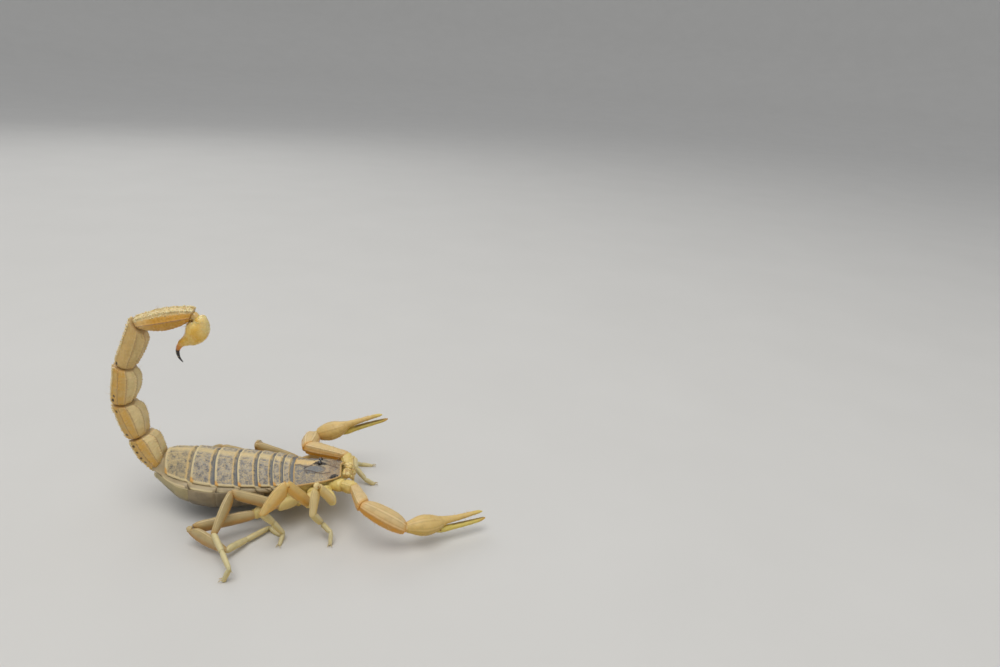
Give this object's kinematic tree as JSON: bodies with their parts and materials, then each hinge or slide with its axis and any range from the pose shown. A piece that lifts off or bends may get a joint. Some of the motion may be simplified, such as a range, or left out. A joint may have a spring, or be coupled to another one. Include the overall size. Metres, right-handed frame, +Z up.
{
  "type": "scorpion model",
  "caption": "Life-size scorpion standing on its walking legs, claws held forward and the tail arched over its back with the sting hanging down.",
  "frame": {"origin": "on the floor under the middle of the animal's own box", "axes": "+X towards the head, +Y towards the animal's left side, +Z up"},
  "size_m": [0.054, 0.0322, 0.0315],
  "materials": {
    "shell_grey": "satin mottled shell",
    "shell_dark": "satin mottled shell",
    "flank": "soft satin membrane",
    "straw": "satin shell with fine grain",
    "amber": "glossy shell",
    "honey": "satin shell",
    "leg": "satin shell",
    "eye": "polished black"
  },
  "bodies": {
    "root": {"carapace": "shell_dark", "eye_right": "eye", "eye_left": "eye", "tergite_1": "shell_grey", "tergite_2": "shell_grey", "tergite_3": "shell_grey", "tergite_4": "shell_grey", "tergite_5": "shell_grey", "tergite_6": "shell_grey", "tergite_7": "shell_grey", "sternite_3": "flank", "sternite_4": "flank", "sternite_5": "flank", "sternite_6": "flank", "sternite_7": "flank", "soft_body": "flank", "chest": "leg", "pectines": "leg", "chelicera_right": "honey", "chelicera_left": "honey", "pedipalp_trochanter_right": "honey", "pedipalp_femur_right": "straw", "pedipalp_patella_right": "straw", "chela_right": "honey", "chela_finger_right": "honey", "pedipalp_trochanter_left": "honey", "pedipalp_femur_left": "straw", "pedipalp_patella_left": "straw", "chela_left": "honey", "chela_finger_left": "honey", "leg_r1_femur": "leg", "leg_r1_patella": "leg", "leg_r1_foot": "leg", "leg_r2_femur": "leg", "leg_r2_patella": "leg", "leg_r2_foot": "leg", "leg_r3_femur": "leg", "leg_r3_patella": "leg", "leg_r3_foot": "leg", "leg_r4_femur": "leg", "leg_r4_patella": "leg", "leg_r4_foot": "leg", "leg_l1_femur": "leg", "leg_l1_patella": "leg", "leg_l1_foot": "leg", "leg_l2_femur": "leg", "leg_l2_patella": "leg", "leg_l2_foot": "leg", "leg_l3_femur": "leg", "leg_l3_patella": "leg", "leg_l3_foot": "leg", "leg_l4_femur": "leg", "leg_l4_patella": "leg", "leg_l4_foot": "leg", "metasoma_1": "straw", "metasoma_2": "straw", "metasoma_3": "straw", "metasoma_4": "straw", "metasoma_5": "straw", "telson": "amber"}
  },
  "joints": []
}
